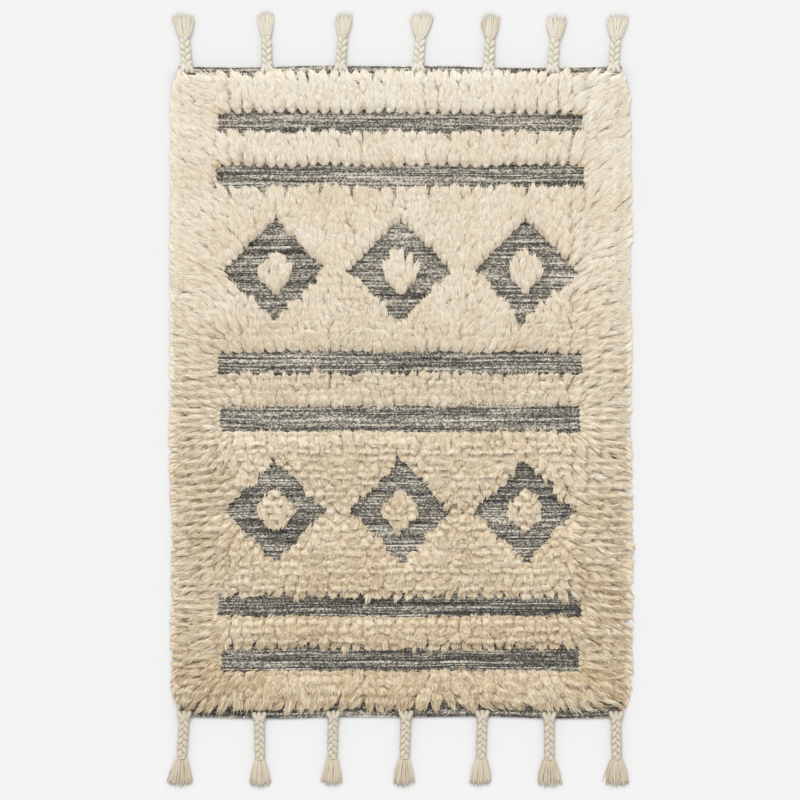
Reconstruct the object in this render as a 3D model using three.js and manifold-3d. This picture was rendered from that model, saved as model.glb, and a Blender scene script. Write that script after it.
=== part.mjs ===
// A hand-knotted wool rug: a shag pile on a flat-woven ground, with seven braided tassels at each end.
// Millimetres, +Z up. The rug lies on the floor at z = 0, its length runs along Y and its top end is at +Y.

import * as THREE from "three";
import { mergeVertices } from "three/addons/utils/BufferGeometryUtils.js";
import Module from "manifold-3d";

const wasm = await Module();
wasm.setup();

// Size of the flat-woven ground cloth
const CLOTH_WIDTH = 610;
const CLOTH_LENGTH = 896;
const CLOTH_THICKNESS = 3;
const STRIP = { top: 12, foot: 15 }; // bare cloth at each end, beyond the pile

// Size of the pile
const PILE_HEIGHT = 18; // from the floor to the tips
const PILE_SPILL = 6; // how far it hangs over each side of the cloth, without its locks
const PILE_LUMP = 2.2; // how far a clump of knots stands above or below its neighbours
const CLUMP = { across: 12, along: 12.3 }; // spacing of the clumps
const PILE_CORNER = 18; // radius of the pile's corners
const PILE_RAGGED = 2.5; // how far its ends stray over the bare strips
const SHOULDER = [
  { inset: 0, height: 5 },
  { inset: 5, height: 11 },
  { inset: 14, height: 16 },
];

// Locks of pile that reach past the sides
const LOCK = { shortest: 3, longest: 11, lean: 3.5, stray: 1.2 };

// Straight bands with no pile, so the ground cloth shows: the middle of each, its half length and thickness
const BANDS = [
  { y: 365, half: 246, thick: 33 },
  { y: 291, half: 250, thick: 35 },
  { y: 37, half: 248, thick: 33 },
  { y: -37, half: 246, thick: 34 },
  { y: -291, half: 249, thick: 33 },
  { y: -365, half: 245, thick: 35 },
];

// Two rows of open diamonds with no pile
const DIAMOND = { halfWidth: 71, halfHeight: 72, stroke: 29, spacing: 172 };
const DIAMOND_ROWS = [164, -164];
const DIAMONDS_ACROSS = [-1, 0, 1];

// Tassels along each end: where each leaves the cloth, how far its tip drifts sideways, the lengths of its
// braid and of its loose skirt, and the skirt's width at the tip
const TOP_TASSELS = [
  { x: -293, drift: -7, braid: 40, skirt: 36, spread: 34 },
  { x: -183, drift: -2, braid: 41, skirt: 37, spread: 24 },
  { x: -82, drift: 6, braid: 40, skirt: 35, spread: 27 },
  { x: 25, drift: 6, braid: 40, skirt: 36, spread: 33 },
  { x: 122, drift: 4, braid: 39, skirt: 36, spread: 28 },
  { x: 210, drift: 6, braid: 39, skirt: 35, spread: 33 },
  { x: 294, drift: 6, braid: 39, skirt: 35, spread: 34 },
];
const FOOT_TASSELS = [
  { x: -297, drift: -6, braid: 56, skirt: 42, spread: 38 },
  { x: -194, drift: 2, braid: 55, skirt: 42, spread: 33 },
  { x: -92, drift: -2, braid: 56, skirt: 41, spread: 33 },
  { x: 8, drift: -3, braid: 56, skirt: 42, spread: 34 },
  { x: 113, drift: -3, braid: 56, skirt: 42, spread: 34 },
  { x: 205, drift: 1, braid: 55, skirt: 42, spread: 40 },
  { x: 297, drift: 2, braid: 56, skirt: 41, spread: 39 },
];

// A tassel's knot lies on the cloth, before the cloth's edge at y = 0
const KNOT = [
  { y: -9, width: 11.5, height: 5 },
  { y: -6.7, width: 19, height: 8 },
  { y: -3.1, width: 19, height: 8 },
];
const CLEARANCE = 0.3; // between a tassel and the cloth it is tied to
const EDGE_SLACK = 0.3; // more of it in front of the cloth's edge, which runs a little askew
const STEP_DOWN = { run: 0.1, height: 7 }; // where the braid drops off the cloth

// Its braid, the neck where the braid is tied off, and the loose strands of its skirt
const BRAID = { width: 14, height: 8, plait: 9.2, bulge: 0.16, plain: 3 };
const NECK = { width: 10.5, height: 7.2, flare: 13.5, length: 5, low: 0.3 };
const SKIRT_STRANDS = 9;
const STRAND = { fill: 0.725, uneven: 0.07, rounded: 0.12 };
const STRAND_ROOT = { along: 1, spread: 8.4, height: 6 };
const STRAND_BEND = { share: 0.45, spreadShare: 0.78, height: 6 };
const STRAND_TIP = { height: 3.2 };

const WOOL_PILE = new THREE.MeshStandardMaterial({ color: 0xe0d5bf, roughness: 1, metalness: 0 });
const WOOL_YARN = new THREE.MeshStandardMaterial({ color: 0xded6c5, roughness: 0.95, metalness: 0 });

// A repeatable stream of numbers from 0 to 1.
function makeRandom(seed) {
  let state = seed;
  return () => {
    state = (state * 1664525 + 1013904223) % 4294967296;
    return state / 4294967296;
  };
}

// Wander of the pile's sides, which are not quite straight.
const sideWander = (y, side) => 1.6 * Math.sin(y / 97 + side) + 1.1 * Math.sin(y / 38 - 2 * side);

// Where a row that was woven at y lies at x: the ends wander a little, and the rows between them less.
function rowAt(x, y) {
  const end = Math.sign(y);
  const wander = 1.1 * Math.sin(x / 74 + 2 * end) + 0.7 * Math.sin(x / 31 - end);
  return y + end * wander * (Math.abs(y) / (CLOTH_LENGTH / 2)) ** 6;
}

// True where a band or a diamond's stroke leaves the pile out.
function isBare(x, y) {
  const inBand = BANDS.some((b) => Math.abs(y - b.y) < b.thick / 2 && Math.abs(x) < b.half);
  const { halfWidth, halfHeight, stroke, spacing } = DIAMOND;
  const across = (halfWidth * halfHeight) / Math.hypot(halfWidth, halfHeight);
  return (
    inBand ||
    DIAMOND_ROWS.some((rowY) =>
      DIAMONDS_ACROSS.some((column) => {
        const reach = Math.abs(x - column * spacing) / halfWidth + Math.abs(y - rowY) / halfHeight;
        return reach < 1 && reach > 1 - stroke / across;
      }),
    )
  );
}

// Even steps from one place to another, both left out.
function stepsBetween(from, to, pitch) {
  const count = Math.round((to - from) / pitch);
  return Array.from({ length: count - 1 }, (_, k) => from + ((to - from) * (k + 1)) / count);
}

// A geometry from points and the corners of its triangles.
function surface(points, corners) {
  const geometry = new THREE.BufferGeometry().setFromPoints(points);
  geometry.setIndex(corners);
  geometry.computeVertexNormals();
  return geometry;
}

// The rug's cloth: one slab with a flat underside, a lumpy top, sunk bands and locks along its sides.
function clothGeometry() {
  const random = makeRandom(7);
  const pileTop = CLOTH_LENGTH / 2 - STRIP.top;
  const pileFoot = -CLOTH_LENGTH / 2 + STRIP.foot;
  const innermost = SHOULDER.at(-1).inset;

  // Rows of the grid, from the foot to the top. Rows of pile have their distance to its nearest end as
  // inset, and the rows of a bare strip have none.
  const rise = SHOULDER.slice(1).map((s) => s.inset);
  const levels = [
    ...rise.map((inset) => pileFoot + inset),
    ...stepsBetween(pileFoot + innermost, pileTop - innermost, CLUMP.along),
    ...rise.toReversed().map((inset) => pileTop - inset),
  ];
  const rows = [
    { y: -CLOTH_LENGTH / 2 },
    { y: pileFoot, ragged: PILE_RAGGED },
    ...levels.map((y) => ({ y, inset: Math.min(y - pileFoot, pileTop - y) })),
    { y: pileTop, ragged: PILE_RAGGED },
    { y: CLOTH_LENGTH / 2 },
  ];

  // Columns, as a distance from the left side or the right one, or a share of the way between the two.
  const halfSpan = CLOTH_WIDTH / 2 + PILE_SPILL - innermost;
  const columns = [
    ...SHOULDER.map((s) => ({ inset: s.inset, side: -1 })),
    ...stepsBetween(-halfSpan, halfSpan, CLUMP.across).map((x) => ({ share: x / halfSpan })),
    ...SHOULDER.toReversed().map((s) => ({ inset: s.inset, side: 1 })),
  ];

  const halfWidth = (row, side) => {
    if (row.inset === undefined) return CLOTH_WIDTH / 2;
    const into = Math.max(PILE_CORNER - row.inset, 0);
    const rounding = PILE_CORNER - Math.sqrt(PILE_CORNER ** 2 - into ** 2);
    return CLOTH_WIDTH / 2 + PILE_SPILL - rounding + sideWander(row.y, side);
  };
  const placeX = (row, column) => {
    if (column.side) return column.side * (halfWidth(row, column.side) - column.inset);
    const side = Math.sign(column.share);
    return column.share * (halfWidth(row, side) - innermost);
  };
  const rounded = (inset) => SHOULDER.findLast((s) => s.inset <= inset + 0.01).height;
  const placeZ = (row, column, x) => {
    if (row.inset === undefined || isBare(x, row.y)) return CLOTH_THICKNESS;
    const inset = Math.min(row.inset, column.side ? column.inset : innermost);
    const full = inset >= innermost;
    const lump = PILE_LUMP * (2 * random() - 1);
    return full ? PILE_HEIGHT - PILE_LUMP + lump : rounded(inset) + lump / 3;
  };

  // The top
  const points = [];
  const corners = [];
  const across = columns.length;
  rows.forEach((row) =>
    columns.forEach((column) => {
      const x = placeX(row, column);
      const stray = row.ragged ? row.ragged * (2 * random() - 1) : 0;
      points.push(new THREE.Vector3(x, rowAt(x, row.y) + stray, placeZ(row, column, x)));
    }),
  );
  for (let r = 0; r + 1 < rows.length; r++) {
    for (let c = 0; c + 1 < across; c++) {
      const a = r * across + c;
      const [b, d, e] = [a + 1, a + across, a + across + 1];
      const level = Math.abs(points[a].z - points[e].z) <= Math.abs(points[b].z - points[d].z);
      corners.push(...(level ? [a, b, e, a, e, d] : [a, b, d, b, e, d]));
    }
  }

  // The rim, walked once round from the foot's left corner, and its copy on the floor
  const last = rows.length - 1;
  const rim = [
    ...columns.map((_, c) => c),
    ...rows.slice(1).map((_, r) => (r + 1) * across + across - 1),
    ...columns.slice(1).map((_, c) => last * across + across - 2 - c),
    ...rows.slice(2).map((_, r) => (last - 1 - r) * across),
  ];
  const floorOf = new Map();
  rim.forEach((top) => {
    floorOf.set(top, points.length);
    points.push(points[top].clone().setZ(0));
  });

  // The wall, with a lock drawn out of each stretch of the pile's sides
  rim.forEach((top, k) => {
    const next = rim[(k + 1) % rim.length];
    const [low, lowNext] = [floorOf.get(top), floorOf.get(next)];
    const isSide = top % across === next % across;
    const isPile = [top, next].every((p) => rows[Math.floor(p / across)].inset !== undefined);
    if (isSide && isPile) {
      const side = Math.sign(points[top].x);
      const middle = points[low].clone().lerp(points[lowNext], 0.5);
      const reach = LOCK.shortest + (LOCK.longest - LOCK.shortest) * random();
      const lean = LOCK.lean * Math.sin(middle.y / 150) + LOCK.stray * (2 * random() - 1);
      const tip = points.length;
      points.push(new THREE.Vector3(middle.x + side * reach, middle.y + lean, 0));
      corners.push(low, lowNext, tip, lowNext, next, tip, next, top, tip, top, low, tip);
    } else {
      corners.push(low, lowNext, next, low, next, top);
    }
  });

  // The underside, laid row by row between the two sides
  const left = (r) => floorOf.get(r * across);
  const right = (r) => floorOf.get(r * across + across - 1);
  for (let c = 0; c + 1 < across; c++) {
    corners.push(floorOf.get(c), left(1), floorOf.get(c + 1));
    corners.push(floorOf.get(last * across + c), floorOf.get(last * across + c + 1), left(last - 1));
  }
  corners.push(left(1), right(1), right(0));
  corners.push(left(last - 1), right(last), right(last - 1));
  for (let r = 1; r + 1 < last; r++) {
    corners.push(left(r), left(r + 1), right(r + 1), left(r), right(r + 1), right(r));
  }
  return surface(points, corners);
}

// A closed skin over rings that all have the same number of points, with a flat cap at each end.
function loft(rings) {
  const sides = rings[0].length;
  const last = (rings.length - 1) * sides;
  const corners = [];
  for (let r = 0; r + 1 < rings.length; r++) {
    for (let s = 0; s < sides; s++) {
      const a = r * sides + s;
      const b = r * sides + ((s + 1) % sides);
      corners.push(a, a + sides, b, b, a + sides, b + sides);
    }
  }
  for (let s = 1; s + 1 < sides; s++) {
    corners.push(0, s, s + 1, last, last + s + 1, last + s);
  }
  return surface(rings.flat(), corners);
}

// A ring round the line that runs along Y: six sides, with a flat bottom at the height low. swell pushes
// its right side out and its left side in, or the other way when it is negative.
function ring({ x, y, width, height, low = 0, swell = 0 }) {
  return Array.from({ length: 6 }, (_, k) => {
    const angle = (k * Math.PI) / 3;
    const right = Math.cos(angle);
    const up = Math.sin(angle) / Math.sin(Math.PI / 3);
    const grow = 1 + swell * Math.sign(right);
    const lift = up > 0 ? grow : 1;
    return new THREE.Vector3(x + (width / 2) * right * grow, y, low + (height / 2) * (1 + up * lift));
  });
}

// How far a tassel has drifted sideways, per millimetre of its length.
const driftSlope = ({ drift, braid, skirt }) => drift / (braid + skirt);

// The knot, braid and neck of a tassel, from the cloth to the root of its skirt.
function braidRings(tassel) {
  const { width, height, plait, bulge, plain } = BRAID;
  const onCloth = CLOTH_THICKNESS + CLEARANCE;
  const edge = CLEARANCE + EDGE_SLACK;
  const rings = [
    ...KNOT.map((section) => ({ ...section, low: onCloth })),
    { y: edge, width, height: STEP_DOWN.height, low: onCloth },
    { y: edge + STEP_DOWN.run, width, height: STEP_DOWN.height + onCloth },
  ];
  const plaited = tassel.braid - 2 * plain;
  const turns = 2 * Math.round(plaited / plait);
  for (let k = 1; k <= turns; k++) {
    rings.push({ y: plain + (plaited * k) / turns, width, height, swell: k % 2 ? bulge : -bulge });
  }
  const neck = { height: NECK.height, low: NECK.low };
  rings.push({ ...neck, y: tassel.braid, width: NECK.width });
  rings.push({ ...neck, y: tassel.braid + NECK.length, width: NECK.flare });
  const slope = driftSlope(tassel);
  return rings.map((section) => ring({ ...section, x: slope * Math.max(section.y, 0) }));
}

// One loose strand of the skirt: three sides, level on the floor, from inside the neck to its own tip.
function strandRings(tassel, index, random) {
  const place = index / (SKIRT_STRANDS - 1) - 0.5;
  const { uneven, rounded, fill } = STRAND;
  const length = tassel.skirt * (1 - uneven * random() - rounded * place * place);
  const stops = [
    STRAND_ROOT,
    {
      along: STRAND_BEND.share * length,
      spread: STRAND_BEND.spreadShare * tassel.spread,
      height: STRAND_BEND.height,
    },
    { along: length, spread: tassel.spread, height: STRAND_TIP.height },
  ];
  return stops.map(({ along, spread, height }) => {
    const y = tassel.braid + along;
    const pitch = spread / SKIRT_STRANDS;
    const middle = driftSlope(tassel) * y + place * (spread - pitch);
    const half = (fill * pitch) / 2;
    return [
      new THREE.Vector3(middle + half, y, 0),
      new THREE.Vector3(middle, y, height),
      new THREE.Vector3(middle - half, y, 0),
    ];
  });
}

// A closed geometry as a solid that can be joined to others.
function toSolid(geometry) {
  const bare = geometry.clone();
  bare.deleteAttribute("normal");
  const merged = mergeVertices(bare, 1e-4);
  return new wasm.Manifold(
    new wasm.Mesh({
      numProp: 3,
      vertProperties: merged.attributes.position.array,
      triVerts: new Uint32Array(merged.index.array),
    }),
  );
}

// A solid as a geometry that can be drawn.
function toGeometry(solid) {
  const { vertProperties, triVerts } = solid.getMesh();
  const geometry = new THREE.BufferGeometry();
  geometry.setAttribute("position", new THREE.BufferAttribute(vertProperties, 3));
  geometry.setIndex(new THREE.BufferAttribute(triVerts, 1));
  geometry.computeVertexNormals();
  return geometry;
}

// A tassel that points along +Y from the cloth's edge at y = 0.
function tasselGeometry(tassel, seed) {
  const random = makeRandom(seed);
  let solid = toSolid(loft(braidRings(tassel)));
  for (let k = 0; k < SKIRT_STRANDS; k++) {
    solid = solid.add(toSolid(loft(strandRings(tassel, k, random))));
  }
  return toGeometry(solid);
}

// Puts the tassels of one end in place, turned half round at the foot.
function addTassels(group, tassels, end, name) {
  tassels.forEach((tassel, k) => {
    const local = { ...tassel, drift: end * tassel.drift };
    const mesh = new THREE.Mesh(tasselGeometry(local, 11 * (k + 1) + end), WOOL_YARN);
    mesh.name = `tassel_${name}_${k + 1}`;
    mesh.position.set(tassel.x, rowAt(tassel.x, (end * CLOTH_LENGTH) / 2), 0);
    mesh.rotation.z = end > 0 ? 0 : Math.PI;
    group.add(mesh);
  });
}

const laid = new THREE.Group();
const cloth = new THREE.Mesh(clothGeometry(), WOOL_PILE);
cloth.name = "rug_field";
laid.add(cloth);
addTassels(laid, TOP_TASSELS, 1, "top");
addTassels(laid, FOOT_TASSELS, -1, "foot");

// The origin is the middle of the whole rug's footprint, tassels included.
laid.updateMatrixWorld(true);
const footprint = new THREE.Box3().setFromObject(laid, true);
const centre = footprint.getCenter(new THREE.Vector3());
laid.position.set(-centre.x, -centre.y, 0);

const rug = new THREE.Group();
rug.add(laid);

export default rug;
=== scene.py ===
# Looks of a hand-knotted wool rug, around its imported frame.
# Metres, +Z up. The rug lies on the floor at z = 0, its length runs along Y and its top end is at +Y.
import math

import bpy
import numpy as np
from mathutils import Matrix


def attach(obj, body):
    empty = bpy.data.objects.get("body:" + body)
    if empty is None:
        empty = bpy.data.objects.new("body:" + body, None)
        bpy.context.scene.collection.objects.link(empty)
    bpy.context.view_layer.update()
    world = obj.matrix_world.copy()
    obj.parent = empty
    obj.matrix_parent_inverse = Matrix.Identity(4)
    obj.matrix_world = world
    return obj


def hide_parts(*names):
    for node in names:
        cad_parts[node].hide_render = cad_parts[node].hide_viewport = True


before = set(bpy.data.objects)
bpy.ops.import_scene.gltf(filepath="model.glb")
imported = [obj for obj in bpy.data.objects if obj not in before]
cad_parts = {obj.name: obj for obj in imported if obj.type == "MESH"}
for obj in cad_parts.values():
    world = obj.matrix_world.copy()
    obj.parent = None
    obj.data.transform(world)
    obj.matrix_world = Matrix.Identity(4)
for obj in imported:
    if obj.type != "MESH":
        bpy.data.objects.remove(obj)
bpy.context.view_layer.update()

MM = 0.001
TINY = 1e-6
UP = np.array([0, 0, 1.0])
random = np.random.default_rng(41)

# The ground cloth, and where its middle lies. Places on the rug are given from there.
CLOTH_WIDTH = 610 * MM
CLOTH_LENGTH = 896 * MM
CLOTH_THICKNESS = 3 * MM
CLOTH_MIDDLE = np.array([0.1 * MM, 11.0 * MM])

# Bands and diamonds with no pile
BANDS = [
    {"y": 365 * MM, "half": 246 * MM, "thick": 33 * MM},
    {"y": 291 * MM, "half": 250 * MM, "thick": 35 * MM},
    {"y": 37 * MM, "half": 248 * MM, "thick": 33 * MM},
    {"y": -37 * MM, "half": 246 * MM, "thick": 34 * MM},
    {"y": -291 * MM, "half": 249 * MM, "thick": 33 * MM},
    {"y": -365 * MM, "half": 245 * MM, "thick": 35 * MM},
]
DIAMOND = {"half_width": 71 * MM, "half_height": 72 * MM, "stroke": 29 * MM, "spacing": 172 * MM}
DIAMOND_ROWS = [164 * MM, -164 * MM]
DIAMONDS_ACROSS = [-1, 0, 1]

# Smooth fields over the rug: how wide their features are, and their seed
NOISE_CELLS = 64
FIELDS = {
    "sway": (50 * MM, 3),
    "waver": (45 * MM, 4),
    "fluff": (70 * MM, 5),
    "tone": (45 * MM, 6),
    "row": (42 * MM, 8),
    "weft": (55 * MM, 11),
    "swirl": (17 * MM, 15),
    "tuft_across": (12 * MM, 21),
    "tuft_along": (10 * MM, 22),
    "height": (14 * MM, 23),
    "lock_tone": (16 * MM, 24),
    "roll": (34 * MM, 41),
    "fine_roll": (11 * MM, 42),
    "side": (34 * MM, 43),
    "stray": (4 * MM, 45),
}

# Where the pile changes: each change begins at the first distance from the cloth's middle and ends at the
# second. These distances are to the sides
MARGIN = (205 * MM, 265 * MM)
SIDE_TURN = (200 * MM, 270 * MM)
# to the top end
BRUSHED_OUT = (-120 * MM, 240 * MM)
UPPER_SIDE = (60 * MM, 260 * MM)
LAID_TOP = (-80 * MM, 160 * MM)
TOP_CORNER = (395 * MM, 450 * MM)
# and to the foot.
LAID_FOOT = (360 * MM, 410 * MM)
FOOT_CORNER = (365 * MM, 410 * MM)
FOOT_ROUNDING = (405 * MM, 450 * MM)
FOOT_END = (380 * MM, 410 * MM)
DEEPER_FOOT = (180 * MM, 400 * MM)
SKEWED_FOOT = (60 * MM, 220 * MM)

# Rows of knots. A pair holds the value at the foot, where the pile lies in locks, and the value at the top
# end, where it is brushed out.
KNOT_ACROSS = 14.7 * MM
KNOT_ROW = 8 * MM
LAST_ROWS = (-419 * MM, 425 * MM)
SPOT = 1 * MM  # steps along a row in which bare parts are looked for
PARTING = -37 * MM  # where the pile parts, towards the foot on one side and the top end on the other
PARTING_HALF = 20 * MM
EDGE_GAP = {"away": 5 * MM, "down": 20.5 * MM, "up": 14.5 * MM}  # to a band, by how the pile leans
LOWERED_ROWS = ((2, 0.1), (3, 0.07), (4, 0.04))  # rows below a band, and the share of height they lose

# Which way the pile leans, and how much
FLOW = {"outward": 1.35, "spread": 0.3, "turned": 0.6, "foot_corner": 0.9, "upper_side": 0.5, "waver": 0.22}
FLOW_SWAY = (0.7, 0.3)
LEAST_LEAN = 0.7
LEAN = (0.66, 1.0)  # where the pile stands, and where it is laid

# How pale the wool is along the rug, from 0 to 1, paler towards the top end: partly the wool's own tone and
# partly painted light that falls off towards the foot
TONES_ALONG = {-430 * MM: 0.37, 0: 0.64, 260 * MM: 0.69, 420 * MM: 0.83}
DARKEST = 0.02
PALEST = 0.98

# The rounded foot of a knot, with its half sizes in mm
DOME_SIDES = 8
DOME_WIDE = (6.2, 7.2)  # least and most
DOME_DEEP = (5.2, 6.2)  # least and most
DOME_INSIDE = {"wide": 2.2, "deep": 1.2}  # added inside the pile
DOME_EDGE_WIDE = (3.4, -1.6)  # added at an edge
DOME_EDGE_HEIGHT = (0.32, 0.95)  # share of its height that it keeps at an edge
DOME_MAP = np.array([0.05, 0.2, 0.3])  # foot, shoulder and top in the map; this low, they take the tan root colour, painted shade between the knots
KNOT_HEIGHT = (8.5 * MM, 11.0 * MM)

# Felted roots between the knots: a low sheet, darker than the wool above it, whose colour paints the shade
# down among the knots
FELT_HEIGHT = (6 * MM, 8.0 * MM)
FELT_HALF = {"across": 0.56, "along": 0.6}  # half a tile, as a share of the spacing of the knots
FELT_SHADE_MAP = (0.12, 0.2)  # lower and upper edge of a tile in the map, low where the tan root colour is painted shade

# Locks, and the fibres over them
LOCK_LENGTH = 23 * MM
LOCK_SPAN = 0.78  # how far a lock can reach, as a share of its length
LOCK_HALF_WIDTH = (4.7 * MM, 4.8 * MM)
LOCK_HALF_HEIGHT = (2.2 * MM, 1.9 * MM)
LOCK_STEPS = 4
LOCK_STATIONS = [0.1, 0.4, 0.66, 0.88, 1.0]
LOCK_SWELL = np.array([0.85, 1.0, 1.0, 0.8, 0])
LOCK_SWELL_UP = np.array([1, 1, 0.9, 0.65, 0])
LOCK_SLIM = [1, 0.4, 0.1, 0.9, 0]
PILE_TOP = 17.5 * MM
FIBRES = 28
FIBRE_HALF_WIDTH = (0.62 * MM, 0.66 * MM)
PILE_PIECES = 4

# Rolls that the pile of the lower half gathers into
ROLL = 11.8 * MM
ROLL_DEPTH = 3.7 * MM

# How far the pile reaches to the sides, over what distance it thins out there, and how uneven it is
SIDE_REACH = 318.5 * MM
SIDE_THIN = 11 * MM
SIDE_WAVER = 2.2 * MM
SIDE_STRAYS = 1.4 * MM
CORNER_ROUNDING = {"top": 14 * MM, "foot": 16 * MM}

# The map of all wool. Across it holds a strand's tone and then the way round the strand, each with its
# share of the width, and upwards the way from the strand's root to its tip.
TONE_SPAN = 0.9
ROUND_SPAN = 0.08
RIBBON_SPAN = 0.01
FIBRES_ROUND = 4  # dark streaks round a strand: partly darker fibres and partly painted shade in the grooves between them

# The map of the ground cloth: its top side fills the lower half and its underside the upper one.
CLOTH_MAP = {"width": 0.98, "height": 0.49}

# Flat weave
WEFT_PITCH = 1.6 * MM
WEFT_DEPTH = 0.5 * MM
CLOTH_COLUMNS = 27
STITCH = 2.2 * MM

# Tassels in mm: place along the end, sideways drift, braid length, skirt length and spread
TOP_TASSELS = [(-293, -7, 40, 36, 34), (-183, -2, 41, 37, 24), (-82, 6, 40, 35, 27), (25, 6, 40, 36, 33),
               (122, 4, 39, 36, 28), (210, 6, 39, 35, 33), (294, 6, 39, 35, 34)]
FOOT_TASSELS = [(-297, -6, 56, 42, 38), (-194, 2, 55, 42, 33), (-92, -2, 56, 41, 33), (8, -3, 56, 42, 34),
                (113, -3, 56, 42, 34), (205, 1, 55, 42, 40), (297, 2, 56, 41, 39)]
# Their end, tone and raggedness, and the place, reach and number of the frayed ends at their knots
# The top tassels are paler than those at the foot: partly the wool's tone and partly painted light, brighter
# towards the top end.
TOP_STYLE = {"end": 1, "tone": 0.78, "ragged": 1.0, "fuzz": (-6, 4.0, 14)}
FOOT_STYLE = {"end": -1, "tone": 0.5, "ragged": 0.25, "fuzz": (-3.5, 6.5, 28)}

# Braid of three bundles, in mm
BRAID_START = -9
BRAID_STEP = 1.45
BRAID_SWING = 4.1
BRAID_PERIOD = 27.6
BRAID_LIFT = 1.9
BRAID_MIDDLE = 4.4
YARN_OFFSETS = np.array([[-2.5, -1.2], [-1.5, 0.7], [0, 1.4], [1.5, 0.7], [2.5, -1.2]])
YARN_RADIUS = 1.0
# Outer yarns of each bundle are darker: painted shade in the creases between the bundles.
YARN_EDGE_SHADE = np.array([-0.3, -0.05, 0.05, -0.05, -0.3])
CORE_OFFSET = np.array([[0.0, -0.4]])
CORE_RADIUS = 1.9
WRAP = {"half_width": 4.2, "half_height": 3.0, "middle": 4.4, "radius": 0.8}

# Loose skirt, in mm: two layers of thick yarns and one of fine fibres at their ends. For each layer, how many
# yarns, their radius, height, shade and sides, and how much shorter, longer and wavier they are
# The lower layer is the darkest: painted shade in the gaps under the upper yarns.
SKIRT_LAYERS = [
    (9, 2.7, 2.0, -0.42, 5, 0.05, 0, 0),
    (9, 1.7, 5.0, -0.27, 5, 0, 0, 1),
    (30, 0.5, 4.4, -0.15, 3, 0, 1, 0),
]
SKIRT_STATIONS = 8
SKIRT_SHAPE = np.array([0.75, 0.95, 1, 1, 1, 0.95, 0.7, 0])
SKIRT_NECK = 3.9

# Camera straight above, with the photo's scale
PHOTO_PIXELS = 800
METRES_PER_PIXEL = 1.377 * MM
VIEW_WIDTH = PHOTO_PIXELS * METRES_PER_PIXEL
LENS = 200
SENSOR = 36

# Floor and light, with angles in degrees
FLOOR_HALF = 6
FLOOR_GREY = 0.72
SURROUND = 0.98
LAMP = {"energy": 1.25, "spread": 28, "tilt": (-44, -14, 0)}


# Fields over the rug

def step(value, low, high):
    """0 below low, 1 above high and smooth between."""
    share = np.clip((value - low) / (high - low), 0, 1)
    return share * share * (3 - 2 * share)


def between(ends, share):
    """The value a share of the way from the first of two ends to the second."""
    return ends[0] + (ends[1] - ends[0]) * share


def field(name, x, y):
    """A smooth random field from -1 to 1."""
    size, seed = FIELDS[name]
    cells = np.random.default_rng(seed).uniform(-1, 1, (NOISE_CELLS, NOISE_CELLS))
    across = x / size + (NOISE_CELLS - 1) / 2
    along = y / size + (NOISE_CELLS - 1) / 2
    column = np.floor(across).astype(int)
    row = np.floor(along).astype(int)
    right = step(across - column, 0, 1)
    above = step(along - row, 0, 1)
    near, far = column % NOISE_CELLS, (column + 1) % NOISE_CELLS
    low, high = row % NOISE_CELLS, (row + 1) % NOISE_CELLS
    at_low = cells[near, low] * (1 - right) + cells[far, low] * right
    at_high = cells[near, high] * (1 - right) + cells[far, high] * right
    return at_low * (1 - above) + at_high * above


def in_band(x, y):
    """True where a band leaves the pile out."""
    bare = np.zeros(np.shape(x), bool)
    for band in BANDS:
        bare |= (np.abs(y - band["y"]) < band["thick"] / 2) & (np.abs(x) < band["half"])
    return bare


def in_diamond(x, y):
    """True where a diamond's stroke leaves the pile out."""
    bare = np.zeros(np.shape(x), bool)
    half_width = DIAMOND["half_width"]
    half_height = DIAMOND["half_height"]
    across = half_width * half_height / math.hypot(half_width, half_height)
    for row_y in DIAMOND_ROWS:
        for column in DIAMONDS_ACROSS:
            middle = column * DIAMOND["spacing"]
            reach = np.abs(x - middle) / half_width + np.abs(y - row_y) / half_height
            bare |= (reach < 1) & (reach > 1 - DIAMOND["stroke"] / across)
    return bare


def margin_at(x):
    """1 along both sides, where the pile is combed outward in long thin locks, and 0 between them."""
    return step(np.abs(x), *MARGIN)


def fluff_at(x, y):
    """How brushed out the pile is, from 0 at the foot, where it lies in locks, to 1 at the top end."""
    return np.clip(step(y, *BRUSHED_OUT) + 0.2 * field("fluff", x, y), 0, 1)


def tone_at(x, y):
    """How pale the wool is at a place, from 0 to 1: paler towards the top end, partly its own tone and partly
    painted light that falls off towards the foot.
    """
    along = np.interp(y, list(TONES_ALONG), list(TONES_ALONG.values()))
    return along + 0.08 * field("tone", x, y)


def lowered_at(x, y):
    """The share of its height that a knot keeps. Just below a band of the lower half the knots are low, so
    that more of their locks shows."""
    share = 1.0
    for rows, less in LOWERED_ROWS:
        share = share * (1 - less * (1 - fluff_at(x, y)) * in_band(x, y + rows * KNOT_ROW + 3 * MM))
    return share


def roll_at(x, y):
    """How far a place is from the middle of its roll of pile, from 0 to 1 at the crevice, and how far on
    which side, from -1 to 1. The rolls lie across the rug about one tuft apart."""
    wave = (y + 3 * MM * field("roll", x, y) + 1.5 * MM * field("fine_roll", x, y)) / ROLL
    turn = 2 * math.pi * wave
    return (0.5 - 0.5 * np.cos(turn)) ** 1.5, np.sin(turn)


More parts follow.
